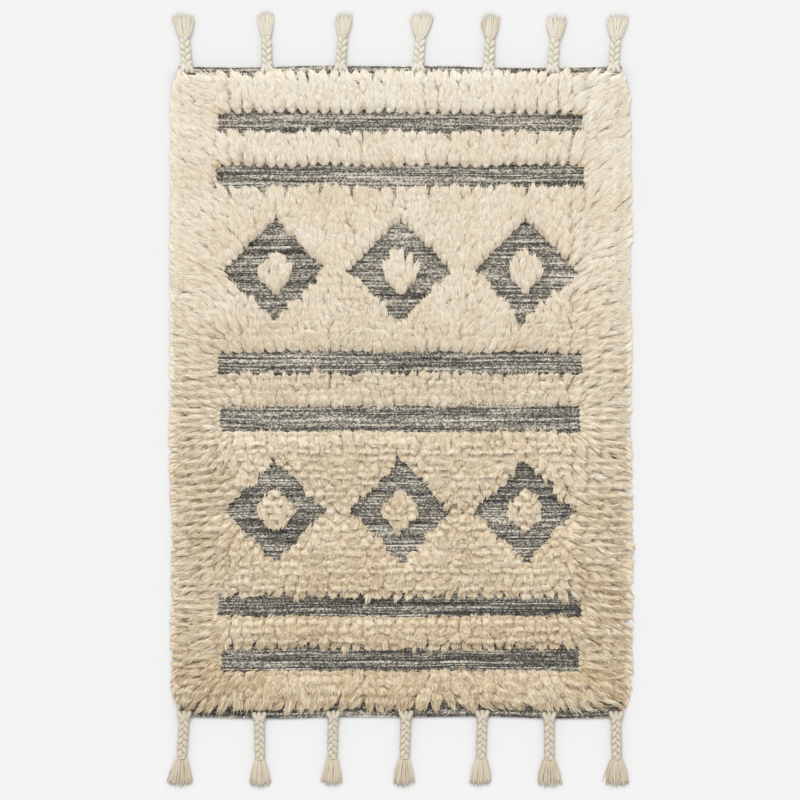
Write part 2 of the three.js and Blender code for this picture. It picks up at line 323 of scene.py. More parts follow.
def flow(x, y):
    """Which way the pile leans at a place, as a unit vector, and how much, from 0 to 1."""
    to_end = np.sin(np.clip((y - PARTING) / PARTING_HALF, -1, 1) * math.pi / 2)
    side = np.sign(x) * step(np.abs(x), *SIDE_TURN)
    beside = np.abs(side)
    sway = between(FLOW_SWAY, fluff_at(x, y)) * field("sway", x, y)
    across = FLOW["outward"] * side + x / (CLOTH_WIDTH / 2) * FLOW["spread"] + sway
    along = to_end * (1 - FLOW["turned"] * beside) - FLOW["foot_corner"] * beside * step(-y, *FOOT_CORNER)
    along = along + FLOW["upper_side"] * beside * step(y, *UPPER_SIDE) + FLOW["waver"] * field("waver", x, y)
    size = np.hypot(across, along)
    laid = np.maximum(beside, np.maximum(step(y, *LAID_TOP), step(-y, *LAID_FOOT)))
    lean = np.clip(size, LEAST_LEAN, 1) * between(LEAN, laid)
    return np.stack([across, along], -1) / np.maximum(size, TINY)[..., None], lean


# Meshes from arrays

def mesh_object(name, points, faces, face_uv=None, smooth=True):
    """An object from an array of points and a list of face arrays, each of one face size."""
    mesh = bpy.data.meshes.new(name)
    sizes = np.concatenate([np.full(len(part), part.shape[1], np.int32) for part in faces])
    corners = np.concatenate([part.ravel() for part in faces]).astype(np.int32)
    starts = np.concatenate([[0], np.cumsum(sizes)[:-1]]).astype(np.int32)
    mesh.vertices.add(len(points))
    mesh.vertices.foreach_set("co", np.ascontiguousarray(points, np.float32).ravel())
    mesh.loops.add(len(corners))
    mesh.loops.foreach_set("vertex_index", corners)
    mesh.polygons.add(len(sizes))
    mesh.polygons.foreach_set("loop_start", starts)
    mesh.polygons.foreach_set("loop_total", sizes)
    mesh.polygons.foreach_set("use_smooth", np.full(len(sizes), smooth))
    if face_uv is not None:
        layer = mesh.uv_layers.new(name="OFBake")
        layer.uv.foreach_set("vector", np.ascontiguousarray(face_uv, np.float32).ravel())
    mesh.update()
    mesh.validate()
    made = bpy.data.objects.new(name, mesh)
    bpy.context.scene.collection.objects.link(made)
    return made


def unit(vectors):
    """Vectors brought to length 1."""
    return vectors / np.maximum(np.linalg.norm(vectors, axis=-1, keepdims=True), 1e-12)


def face_map(*corners):
    """The map of some faces, from where each of their corners lies across and upwards in it."""
    return np.stack([np.stack(np.broadcast_arrays(across, up), -1) for across, up in corners], -2)


def strand_frames(paths, side):
    """The directions across and outward from strands along paths (strands, stations, 3), but for their tips.
    side is each strand's sideways direction."""
    tangent = unit(np.gradient(paths, axis=1))[:, :-1]
    across = unit(side[:, None, :] - (side[:, None, :] * tangent).sum(-1, keepdims=True) * tangent)
    return across[:, :, None, :], np.cross(tangent, across)[:, :, None, :]


def ring_faces(levels, steps, per_ring):
    """The quads between rings of points and the triangles from the last ring to a tip, and their map, where
    levels holds the height of each ring and of the tip. A closed ring has as many points as steps, and an
    open one has one more."""
    rings = len(levels) - 1
    ring, around = np.meshgrid(np.arange(rings - 1), np.arange(steps), indexing="ij")
    here = (ring * per_ring + around).ravel()
    beside = (ring * per_ring + (around + 1) % per_ring).ravel()
    quads = np.stack([here, beside, beside + per_ring, here + per_ring], 1)
    start = np.arange(steps)
    last = (rings - 1) * per_ring
    tips = np.stack([last + start, last + (start + 1) % per_ring, np.full(steps, rings * per_ring)], 1)

    turn = ROUND_SPAN / steps
    left = (around * turn).ravel()
    low = levels[ring].ravel()
    high = levels[ring + 1].ravel()
    quad_map = face_map((left, low), (left + turn, low), (left + turn, high), (left, high))
    left = start * turn
    tip_map = face_map((left, levels[-2]), (left + turn, levels[-2]), (left + turn / 2, levels[-1]))
    return [quads, tips], [quad_map, tip_map]


def spread_faces(base, faces, maps, tone, above=0.0):
    """One item's faces and map repeated for every item, whose first point is in base. Its tone moves the map
    across, and above moves it up."""
    all_faces = [(base[:, :, None] + part[None]).reshape(-1, part.shape[1]) for part in faces]
    all_maps = []
    for part in maps:
        every = np.broadcast_to(part, (len(base),) + part.shape).copy()
        every[..., 0] += tone[:, None, None] * TONE_SPAN
        every[..., 1] = np.minimum(every[..., 1] + np.reshape(above, (-1, 1, 1)), 1)
        all_maps.append(every.reshape(-1, 2))
    return all_faces, np.concatenate(all_maps)


def strand_mesh(paths, radii, side, flat, roll, tone, sides):
    """Strands with a pointed tip along paths (strands, stations, 3): their points, faces and map. side is
    each strand's sideways direction, flat its thickness as a share of its width, and roll its turn."""
    strands, stations, _ = paths.shape
    rings = stations - 1
    across, outward = strand_frames(paths, side)
    angle = roll[:, None] + np.arange(sides) * 2 * math.pi / sides
    cos = np.cos(angle)[:, None, :, None]
    sin = np.sin(angle)[:, None, :, None] * flat
    ring = paths[:, :rings, None, :] + radii[:, :rings, None, None] * (cos * across + sin * outward)
    points = np.concatenate([ring.reshape(strands, rings * sides, 3), paths[:, -1:, :]], 1)
    base = np.arange(strands)[:, None] * (rings * sides + 1)
    faces, maps = ring_faces(np.linspace(0, 1, stations), sides, sides)
    corners = np.arange(sides)
    faces.append(corners[::-1][None])
    maps.append(face_map((corners * ROUND_SPAN / sides, corners % 2 * 0.02)).transpose(1, 0, 2))
    return points.reshape(-1, 3), *spread_faces(base, faces, maps, tone)


def lock_mesh(paths, half_width, half_height, side, tone, paler):
    """Locks of wool as half-round bodies along paths (locks, stations, 3), each ending in a point."""
    locks_made, stations, _ = paths.shape
    rings = stations - 1
    per_ring = LOCK_STEPS + 1
    across, outward = strand_frames(paths, side)
    angle = np.linspace(0, math.pi, per_ring)[None, None, :, None]
    ring = (paths[:, :rings, None, :]
            + half_width[:, :rings, None, None] * np.cos(angle) * across
            + half_height[:, :rings, None, None] * np.sin(angle) * outward)
    points = np.concatenate([ring.reshape(locks_made, rings * per_ring, 3), paths[:, -1:, :]], 1)
    base = np.arange(locks_made)[:, None] * (rings * per_ring + 1)
    faces, maps = ring_faces(np.linspace(0, 1, stations), LOCK_STEPS, per_ring)
    return points.reshape(-1, 3), *spread_faces(base, faces, maps, tone, paler)


def ribbon_mesh(paths, half_width, side, tone, low, high):
    """Fine fibres as narrow ribbons along paths (fibres, 3, 3), each ending in a point. They lie from low to
    high along their locks, and their colour goes by that."""
    shift = side * half_width[:, :2, None]
    edges = np.stack([paths[:, :2] + shift, paths[:, :2] - shift], 2)
    points = np.concatenate([edges.reshape(len(paths), 4, 3), paths[:, -1:, :]], 1)
    base = np.arange(len(paths))[:, None] * 5
    quads = base + np.array([0, 1, 3, 2])
    tips = base + np.array([2, 3, 4])
    left = tone * TONE_SPAN
    right = left + RIBBON_SPAN
    low = np.minimum(low, 0.9)
    high = np.minimum(high, 1.0)
    middle = (low + high) / 2
    quad_map = face_map((left, low), (right, low), (right, middle), (left, middle))
    tip_map = face_map((left, middle), (right, middle), (left + RIBBON_SPAN / 2, high))
    face_uv = np.concatenate([quad_map.reshape(-1, 2), tip_map.reshape(-1, 2)])
    return points.reshape(-1, 3), [quads, tips], face_uv


def joined(parts):
    """Several sets of points, faces and map as one, with the faces of one size together."""
    points = []
    by_size = {}
    offset = 0
    for part_points, part_faces, part_map in parts:
        points.append(part_points)
        start = 0
        for faces in part_faces:
            end = start + faces.size
            by_size.setdefault(faces.shape[1], []).append((faces + offset, part_map[start:end]))
            start = end
        offset += len(part_points)
    sizes = sorted(by_size)
    all_faces = [np.concatenate([faces for faces, _ in by_size[size]]) for size in sizes]
    face_uv = np.concatenate([corners for size in sizes for _, corners in by_size[size]])
    return np.concatenate(points), all_faces, face_uv


# Materials

def new_material(name):
    """A material, a function that adds a node to it, and one that adds a sum and gives its result."""
    material = bpy.data.materials.new(name)
    material.use_nodes = True
    tree = material.node_tree

    def add(kind, inputs=(), **settings):
        node = tree.nodes.new("ShaderNode" + kind)
        for key, value in settings.items():
            setattr(node, key, value)
        for key, value in dict(inputs).items():
            if isinstance(value, bpy.types.NodeSocket):
                tree.links.new(value, node.inputs[key])
            else:
                node.inputs[key].default_value = value
        return node

    def maths(operation, *values):
        return add("Math", dict(enumerate(values)), operation=operation).outputs[0]

    return material, add, maths


def map_places(add):
    """Where a point lies across and upwards in the map."""
    places = add("SeparateXYZ", {"Vector": add("UVMap", uv_map="OFBake").outputs["UV"]})
    return places.outputs["X"], places.outputs["Y"]


def ramp(add, value, stops):
    """A colour ramp over a value, with stops of place and colour."""
    node = add("ValToRGB", {"Fac": value})
    elements = node.color_ramp.elements
    while len(elements) < len(stops):
        elements.new(0.5)
    for element, (place, colour) in zip(elements, stops):
        element.position = place
        element.color = (*colour, 1)
    return node.outputs["Color"]


def finish_wool(material, colour):
    """Gives a material its colour and the dull surface of wool."""
    shader = material.node_tree.nodes["Principled BSDF"]
    material.node_tree.links.new(colour, shader.inputs["Base Color"])
    shader.inputs["Roughness"].default_value = 0.95
    shader.inputs["Specular IOR Level"].default_value = 0.1


def wool_material(name, roots, dark_roots, tones, deep, twist, streak):
    """Wool in strands: tan at the roots, painted shade down in the crevices, and paler by deep of the way up.
    A strand's tone takes it through tones, and its root from dark_roots to roots. Its fibres make twist turns
    along it, and streak is how dark they get: partly darker fibres and partly painted shade in the grooves
    between them."""
    material, add, maths = new_material(name)
    tone, along = map_places(add)
    body = ramp(add, tone, tones)
    # Tan roots fading into the body colour by deep of the way up: painted shade down in the crevices.
    depth = ramp(add, along, [(0.0, (0, 0, 0)), (deep, (1, 1, 1))])
    root = add("Mix", {"Factor": tone, "A": (*dark_roots, 1), "B": (*roots, 1)}, data_type="RGBA")
    colour = add("Mix", {"Factor": depth, "A": root.outputs[2], "B": body}, data_type="RGBA")
    # Streaks that twist along each strand: partly darker fibres and partly painted shade in the grooves
    # between fibres and plies.
    around = maths("MULTIPLY", tone, 2 * math.pi * FIBRES_ROUND / ROUND_SPAN)
    wave = maths("SINE", maths("MULTIPLY_ADD", along, 2 * math.pi * twist, around))
    fibre = add("MapRange", {"Value": wave, "From Min": -1.0, "To Min": streak, "To Max": 1.0})
    shaded = add("Mix", {"Factor": 1.0, "A": colour.outputs[2], "B": fibre.outputs[0]},
                 data_type="RGBA", blend_type="MULTIPLY")
    finish_wool(material, shaded.outputs[2])
    return material


def weave_material():
    """Weft-faced flat weave: rows of charcoal and off-white wool with long streaks."""
    material, add, maths = new_material("charcoal_melange_weave")
    across, upwards = map_places(add)

    def plane(x, y):
        return add("CombineXYZ", {"X": x, "Y": y}).outputs[0]

    x = maths("MULTIPLY", across, CLOTH_WIDTH / CLOTH_MAP["width"])
    y = maths("MULTIPLY", upwards, CLOTH_LENGTH / CLOTH_MAP["height"])
    row = maths("FLOOR", maths("DIVIDE", y, WEFT_PITCH))
    # long streaks, one yarn high
    streak = add("TexNoise", {"Vector": plane(maths("MULTIPLY", x, 9.0), maths("MULTIPLY", row, 7.31)),
                              "Scale": 1.0, "Detail": 3.0, "Roughness": 0.65})
    # groups of rows that run darker or lighter together
    group = add("TexNoise", {"Vector": plane(maths("MULTIPLY", x, 8.0), maths("MULTIPLY", y, 130.0)),
                             "Scale": 1.0, "Detail": 2.0})
    # single stitches over the warps
    stitch = maths("ADD", maths("DIVIDE", x, STITCH), maths("MULTIPLY", row, 0.5))
    fleck = add("TexWhiteNoise", {"Vector": plane(maths("FLOOR", stitch), row)}, noise_dimensions="2D")
    # single yarns that stay dark or light for long
    length = maths("FLOOR", maths("MULTIPLY_ADD", row, 0.377, maths("MULTIPLY", x, 5.0)))
    yarn = add("TexWhiteNoise", {"Vector": plane(length, row)}, noise_dimensions="2D")
    # all of them together, and paler towards the top end: partly the weave's own tone and partly painted
    # light, brighter at the top end
    mixed = maths("MULTIPLY_ADD", streak.outputs[0], 0.75, -0.445)
    for value, share in ((group.outputs[0], 0.4), (fleck.outputs[0], 0.4), (yarn.outputs[0], 0.36),
                         (upwards, 0.28)):
        mixed = maths("MULTIPLY_ADD", value, share, mixed)
    finish_wool(material, ramp(add, mixed, [(0.3, (0.05, 0.048, 0.042)), (0.5, (0.14, 0.132, 0.115)),
                                            (0.66, (0.32, 0.3, 0.255)), (0.86, (0.72, 0.67, 0.57))]))
    return material


# Its tan roots paint the shade down in the crevices of the pile.
WOOL = wool_material("shag_wool", roots=(0.73, 0.57, 0.36), dark_roots=(0.46, 0.29, 0.135), deep=0.5,
                     twist=1.5, streak=0.88, tones=[(0.0, (0.5, 0.365, 0.205)), (0.2, (0.64, 0.51, 0.335)),
                                                    (0.68, (0.84, 0.75, 0.6)), (0.9, (0.855, 0.825, 0.735))])


# Pile

def row_places():
    """Where the rows of knots lie along Y. They are even between the bands and end at a set gap from each,
    which is wider where the pile leans over the band."""
    anchors = [LAST_ROWS[0]]
    for band in sorted(BANDS, key=lambda band: band["y"]):
        below = "up" if band["y"] > PARTING + 1 * MM else "away"
        above = "down" if band["y"] < PARTING - 1 * MM else "away"
        anchors.append(band["y"] - band["thick"] / 2 - EDGE_GAP[below])
        anchors.append(band["y"] + band["thick"] / 2 + EDGE_GAP[above])
    anchors.append(LAST_ROWS[1])
    rows = [anchors[0]]
    for low, high in zip(anchors[:-1], anchors[1:]):
        count = round((high - low) / KNOT_ROW)
        rows.extend(low + (high - low) * np.arange(1, count + 1) / count)
    return np.array(rows)


def knot_places():
    """The places of the knots, even along each row between the parts that stay bare, and whether each stands
    inside the pile, with others all round it."""
    spots = np.arange(-CLOTH_WIDTH / 2 + SPOT / 2, CLOTH_WIDTH / 2, SPOT)
    xs = []
    ys = []
    for row_y in row_places():
        stagger = random.uniform(-0.25, 0.25) * (1 if row_y < PARTING else 0.3)
        direction, lean = flow(spots, np.full(spots.shape, row_y))
        ahead = 0.4 * LOCK_LENGTH * lean[:, None] * direction
        bare = in_band(spots, row_y) | in_diamond(spots, row_y)
        bare |= in_diamond(spots + ahead[:, 0], row_y + ahead[:, 1])
        edges = np.flatnonzero(np.diff(np.concatenate([[True], bare, [True]]).astype(int)))
        for first, last in edges.reshape(-1, 2):
            count = round((last - first) * SPOT / KNOT_ACROSS)
            if count:
                shift = stagger if count > 5 else 0
                place = first + (last - first) * (np.arange(count) + 0.5 + shift) / count
                xs.append(spots[0] - SPOT / 2 + place * SPOT)
                ys.append(np.full(count, row_y))
    x = np.concatenate(xs)
    y = np.concatenate(ys)
    inside = (np.abs(x) < CLOTH_WIDTH / 2 - KNOT_ACROSS) & (y > LAST_ROWS[0]) & (y < LAST_ROWS[1])
    for across, along in ((-KNOT_ACROSS, 0), (KNOT_ACROSS, 0), (0, -KNOT_ROW), (0, KNOT_ROW)):
        inside &= ~in_band(x + across, y + along) & ~in_diamond(x + across, y + along)
    x = x + random.uniform(-0.1, 0.1, len(x)) * KNOT_ACROSS
    loose = np.where(inside, 1.0, 0.4) * MM
    y = y + 1.8 * MM * field("row", x, y) + random.uniform(-1, 1, len(y)) * loose
    return x, y, inside


def knot_domes(x, y, inside):
    """The rounded foot of every knot, moved a little the way the knot leans."""
    count = len(x)
    direction, lean = flow(x, y)
    fluff = fluff_at(x, y)
    margin = margin_at(x)
    angle = np.arange(DOME_SIDES) * 2 * math.pi / DOME_SIDES
    wider = np.where(inside, DOME_INSIDE["wide"], between(DOME_EDGE_WIDE, fluff))
    wide = (random.uniform(*DOME_WIDE, count) + wider) * MM
    deep = (random.uniform(*DOME_DEEP, count) + DOME_INSIDE["deep"] * inside) * MM
    full = inside * (1 - margin * (1 - fluff))
    high = between(KNOT_HEIGHT, fluff) * random.uniform(0.92, 1.04, count)
    high *= np.where(inside, 1 - 0.35 * margin * (1 - fluff), between(DOME_EDGE_HEIGHT, fluff))
    high *= np.where(inside, lowered_at(x, y), 1)

    centre = np.stack([x, y], -1) + direction * (1.2 * MM * lean)[:, None]
    rings = []
    for share, level in ((0.94, 0), (0.86 + 0.08 * full, 0.62 + 0.22 * full)):
        share = np.reshape(share, (-1, 1))
        ring_x = centre[:, :1] + np.cos(angle) * wide[:, None] * share
        ring_y = centre[:, 1:] + np.sin(angle) * deep[:, None] * share
        ring_z = np.broadcast_to((CLOTH_THICKNESS - 0.3 * MM + high * level)[:, None], ring_x.shape)
        rings.append(np.stack([ring_x, ring_y, ring_z], -1))
    top = np.concatenate([centre + direction * (1.5 * MM), (CLOTH_THICKNESS + high)[:, None]], 1)
    points = np.concatenate([*rings, top[:, None]], 1)
    points[..., :2] += CLOTH_MIDDLE
    base = np.arange(count)[:, None] * (2 * DOME_SIDES + 1)
    faces, maps = ring_faces(DOME_MAP, DOME_SIDES, DOME_SIDES)
    tone = np.clip(tone_at(x, y) + random.normal(0, 0.05, count), DARKEST, PALEST)
    # Raised in the map, a dome shows less of the painted root shade: somewhat inside the lower half, most at
    # the edges.
    paler = np.where(inside, 0.18 * (1 - fluff), 0.35)
    return points.reshape(-1, 3), *spread_faces(base, faces, maps, tone, paler)


def shaded_felt_mesh(x, y):
    """The felted roots of the wool between the knots: one low tile for each knot, darkened with painted
    shade.
    """
    fluff = fluff_at(x, y)
    across = FELT_HALF["across"] * KNOT_ACROSS * np.array([-1, 1, 1, -1])
    along = FELT_HALF["along"] * KNOT_ROW * np.array([-1, -1, 1, 1])
    level = CLOTH_THICKNESS + between(FELT_HEIGHT, fluff) + random.uniform(-0.3, 0.3, len(x)) * MM
    level = level * (1 - 0.3 * margin_at(x) * (1 - fluff)) * lowered_at(x, y) ** 2
    points = np.stack([x[:, None] + across, y[:, None] + along, np.tile(level[:, None], (1, 4))], -1)
    points[..., :2] += CLOTH_MIDDLE
    low, high = FELT_SHADE_MAP
    tile_map = np.array([[[0.0, low], [ROUND_SPAN, low], [ROUND_SPAN, high], [0.0, high]]])
    base = np.arange(len(x))[:, None] * 4
    # Darker than the wool above, most towards the foot: painted shade down between the knots.
    tone = np.clip(tone_at(x, y) - 0.3 * (1 - fluff), 0.04, 0.96)
    return points.reshape(-1, 3), *spread_faces(base, [np.array([[0, 1, 2, 3]])], [tile_map], tone)


def locks(x, y, inside):
    """Two locks for every knot: the corners of their curves, sideways directions, tones, how brushed out they
    are, how far into a margin and whether they stand inside the pile."""
    knots = len(x)
    pairs = (knots, 2)
    direction, lean = flow(x, y)
    fluff = fluff_at(x, y)[:, None]
    margin = margin_at(x)[:, None]
    edge = np.where(inside, 0, 1)[:, None]
    hand = np.array([-1.0, 1.0])

    # Where each lock stands, which way it heads and how far it reaches
    loose = np.where(inside, 1.0, 0.4)[:, None]
    end = step(-y, *FOOT_END)[:, None]
    swirl = between((0.75, 0.5), fluff) * field("swirl", x, y)[:, None]
    swirl = swirl + random.normal(0, 0.16, knots)[:, None]
    turn = loose * (swirl * (1 - 0.5 * margin) + random.normal(0, 0.12, pairs)) - 0.06 * hand
    apart = between((2.9, 3.4), fluff) * (1 - 0.7 * margin) * (1 - 0.5 * fluff * edge)
    base_x = x[:, None] + (apart * hand + random.normal(0, 0.6, pairs)) * MM
    base_y = y[:, None] + (2.3 * margin * hand + random.normal(0, 0.6, pairs) * (2 - loose)) * MM
    tilt = np.clip(lean[:, None] + random.normal(0, 0.07, pairs), 0.4, 1.05)
    length = LOCK_LENGTH * random.normal(1, 0.07 + 0.06 * margin, pairs) * (1 + 0.5 * margin)
    length *= 1 + 0.3 * end * (1 - margin)
    reach = np.clip(length * LOCK_SPAN * tilt, 7 * MM, 34 * MM)
    head_x = direction[:, :1] * np.cos(turn) - direction[:, 1:] * np.sin(turn)
    head_y = direction[:, :1] * np.sin(turn) + direction[:, 1:] * np.cos(turn)

    # Tips lie together in tufts.
    tip_x = base_x + head_x * reach
    tip_y = base_y + head_y * reach
    gather = loose * between((2.6, 1.2), fluff) * MM
    tip_x += gather * field("tuft_across", tip_x, tip_y)
    tip_y += 0.7 * gather * field("tuft_along", tip_x, tip_y)
    heading = np.stack([tip_x - base_x, tip_y - base_y], -1)
    reach = np.linalg.norm(heading, axis=-1)
    heading = unit(heading)

    # How high they stand. At the edges of the lower half they are uneven.
    height = np.minimum(length * np.sqrt(1 - (LOCK_SPAN * tilt) ** 2) * 0.95, PILE_TOP - 6 * MM)
    bumps = random.normal(0, 0.5, pairs) + 0.9 * field("height", tip_x, tip_y)
    height += (1 - 0.5 * fluff) * bumps * MM
    height += np.maximum(margin, end) * (1 - fluff) * random.normal(0, 1.2, pairs) * MM
    height = np.clip(height, 7 * MM, PILE_TOP - 5.5 * MM)
    uneven = edge * (1 - fluff)
    height *= 1 - uneven * random.uniform(0, 0.4, pairs)
    back = uneven * random.uniform(-2.5, 3, pairs) * MM
    base_x -= back * heading[..., 0]
    base_y -= back * heading[..., 1]

    flat = np.zeros((knots, 2, 1))
    forward = np.concatenate([heading, flat], -1)
    side = np.concatenate([-heading[..., 1:], heading[..., :1], flat], -1)
    start = np.stack([base_x, base_y, np.full(pairs, CLOTH_THICKNESS)], -1)
    bow = random.normal(0, 1.2, (knots, 2, 1)) * MM * (1 + margin[..., None])
    rise = height[..., None]
    ahead = reach[..., None]
    plump = fluff[..., None]
    lower = (0.12 - 0.12 * plump) * ahead - 1.5 * MM * plump
    corners = np.stack([
        start + UP * 1.5 * MM,
        start + UP * (0.45 + 0.3 * plump) * rise + forward * lower,
        start + UP * (1.0 + 0.1 * plump) * rise + forward * (0.55 - 0.1 * plump) * ahead + side * bow,
        start + UP * (0.95 - 0.03 * plump) * rise + forward * ahead,
    ], 2)
    tone = tone_at(x, y)[:, None] + random.normal(0, 0.04, pairs) + 0.05 * field("lock_tone", tip_x, tip_y)
    return (corners.reshape(2 * knots, 4, 3), side.reshape(2 * knots, 3), np.clip(tone, 0.04, 0.96).ravel(),
            np.repeat(fluff[:, 0], 2), np.repeat(margin[:, 0], 2), np.repeat(inside, 2))


def curve(corners, share):
    """Points at a share of the way along cubic curves with the given corners (curves, 4, 3)."""
    first, second, third, fourth = (corners[:, corner, None, :] for corner in range(4))
    gone = np.asarray(share)[..., None]
    left = 1 - gone
    return first * left**3 + 3 * second * gone * left**2 + 3 * third * gone**2 * left + fourth * gone**3


def settle(points):
    """Gathers the lower half into rolls, keeps the pile's sides even, lets what reaches past the cloth hang
    down, and moves it to the rug's place."""
    x = points[..., 0]
    y = points[..., 1]
    z = points[..., 2]
    far, turn = roll_at(x, y)
    share = (1 - fluff_at(x, y)) * step(z, 7 * MM, 10 * MM)
    y -= 0.1 * ROLL * turn * share
    z -= ROLL_DEPTH * far * share

    hand = np.sign(x)
    # Both sides read a field far apart, so that they differ.
    waver = SIDE_WAVER * field("side", hand * 200 * MM, y)
    strays = SIDE_STRAYS * field("stray", z + hand * 90 * MM, y)
    skew = hand * (1.0 * MM + 2.5 * MM * step(-y, *SKEWED_FOOT))
    rounding = CORNER_ROUNDING["top"] * step(y, *TOP_CORNER)
    rounding = rounding + CORNER_ROUNDING["foot"] * step(-y, *FOOT_ROUNDING)
    limit = SIDE_REACH + waver + strays + skew - rounding
    width = np.abs(x)
    over = np.maximum(width - (limit - SIDE_THIN), 0)
    x[...] = hand * (np.minimum(width, limit - SIDE_THIN) + SIDE_THIN * np.tanh(over / SIDE_THIN))

    over_side = np.maximum(np.abs(x) - (CLOTH_WIDTH / 2 - 6 * MM), 0)
    over_end = np.maximum(np.abs(y) - (CLOTH_LENGTH / 2 - 20 * MM), 0)
    z[...] = np.maximum(z - np.maximum(over_side * 0.8, over_end * 0.5), 1.6 * MM)
    points[..., :2] += CLOTH_MIDDLE
    return points


def pile_parts(x, y, inside):
    """The bodies of the locks and the fibres that lie over them and run on past their tips."""
    corners, side, tone, fluff, margin, within = locks(x, y, inside)
    body = settle(curve(corners, LOCK_STATIONS))
    slim = np.where(within, 0, 0.35 * (1 - fluff))[:, None] * LOCK_SLIM
    swell = LOCK_SWELL - slim
    thin = 1 - 0.42 * margin * (1 - 0.5 * fluff)
    wide = (between(LOCK_HALF_WIDTH, fluff) * thin * random.uniform(0.78, 1.22, len(tone)))[:, None]
    thick = (between(LOCK_HALF_HEIGHT, fluff) * random.uniform(0.85, 1.15, len(tone)))[:, None]
    # Locks at the edges are raised in the map, so that less of the painted root shade shows on them.
    paler = np.where(within, 0, 0.4)
    bodies = lock_mesh(body, wide * swell, thick * (swell * LOCK_SWELL_UP), side, tone, paler)

    # Each fibre runs along a part of its lock.
    count = len(tone) * FIBRES
    lock = np.repeat(np.arange(len(tone)), FIBRES)
    fuzz = fluff[lock]
    start = random.uniform(0.25, 0.8, count) - np.where(within[lock], 0, random.uniform(0, 0.25, count))
    end = np.minimum(start + random.uniform(0.35, 0.55, count), random.uniform(0.95, 1.2, count))
    end += np.where(within[lock], 0, 0.12 * (1 - fuzz))
    along = start[:, None] + (end - start)[:, None] * np.array([0, 0.55, 1.0])
    path = curve(corners[lock], along)

    # Short ends at the edges lie back over the bare weave.
    back = ~within[lock] & (random.random(count) < 0.42 * (1 - fuzz))
    forward = np.cross(side[lock], UP)
    reach = random.uniform(4, 9, count)[:, None, None] * MM * np.array([0, 0.5, 1.0])[:, None]
    sink = np.array([0, -0.4, -4.5])[:, None] * UP * MM
    lying = curve(corners[lock], np.full((count, 1), 0.3)) - forward[:, None] * reach + sink
    path = np.where(back[:, None, None], lying, path)

    # Fibres lie round their lock and stray towards their tips.
    angle = random.uniform(0.1, 0.9, count) * math.pi
    taper = np.where(along < 0.7, 1.0, 1.0 - 1.3 * (along - 0.7))
    stray = random.normal(0, 1, (count, 1)) * (1.9 + 0.8 * fuzz[:, None]) * MM * np.array([0, 0.4, 1.0])
    across = np.cos(angle)[:, None] * wide[lock] * taper + stray
    lift = np.sin(angle)[:, None] * thick[lock] * taper + 0.35 * MM
    path = path + across[..., None] * side[lock][:, None, :]
    path[..., 2] += lift + random.normal(0.15, 0.4, (count, 1)) * MM * np.array([0, 0.7, 1.2])
    # How deep in a crevice between rolls each fibre lies, for the painted shade there.
    crevice_shade = roll_at(path[:, 1, 0], path[:, 1, 1])[0]
    path = settle(path)
    tilt = np.cos(angle) * 0.55
    ribbon_side = side[lock] * np.cos(tilt)[:, None] - UP * np.sin(tilt)[:, None]
    half = between(FIBRE_HALF_WIDTH, fuzz)[:, None] * np.array([0.7, 1.0, 0])
    half = half * random.uniform(0.75, 1.25, (count, 1))

    # Their shades differ, most of all at the foot, and in the crevices between the rolls they are darkened
    # with painted shade, more so at the foot.
    deeper = np.repeat(step(-y, *DEEPER_FOOT), 2 * FIBRES)
    shade = tone[lock] + random.normal(0, 1, count) * (0.17 - 0.06 * fuzz + 0.07 * deeper)
    shade -= (0.2 + 0.06 * deeper) * (1 - fuzz) * crevice_shade
    fibres = ribbon_mesh(path, half, ribbon_side[:, None, :], np.clip(shade, DARKEST, PALEST), start, end)
    return bodies, fibres


def make_pile():
    """The pile, in pieces from the foot to the top end."""
    x, y, inside = knot_places()
    under_band = (y > PARTING) & in_band(x, y + EDGE_GAP["up"] + 5 * MM)
    under_band &= np.abs(x) < CLOTH_WIDTH / 2 - KNOT_ACROSS
    order = np.argsort(y, kind="stable")
    pieces = []
    for number, chosen in enumerate(np.array_split(order, PILE_PIECES), 1):
        domes = knot_domes(x[chosen], y[chosen], inside[chosen])
        felted = chosen[(inside | under_band)[chosen]]
        parts = [shaded_felt_mesh(x[felted], y[felted]), domes, *pile_parts(x[chosen], y[chosen], inside[chosen])]
        piece = mesh_object(f"pile_{number}", *joined(parts))
        piece.data.materials.append(WOOL)
        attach(piece, "root")
        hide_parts("rug_field")
        pieces.append(piece)
    return pieces


pile = make_pile()


# Ground

def row_shift(x, end):
    """How far the cloth's end wavers outward at x, both in mm, with end 1 at the top and -1 at the foot."""
    return 1.1 * np.sin(x / 74 + 2 * end) + 0.7 * np.sin(x / 31 - end)


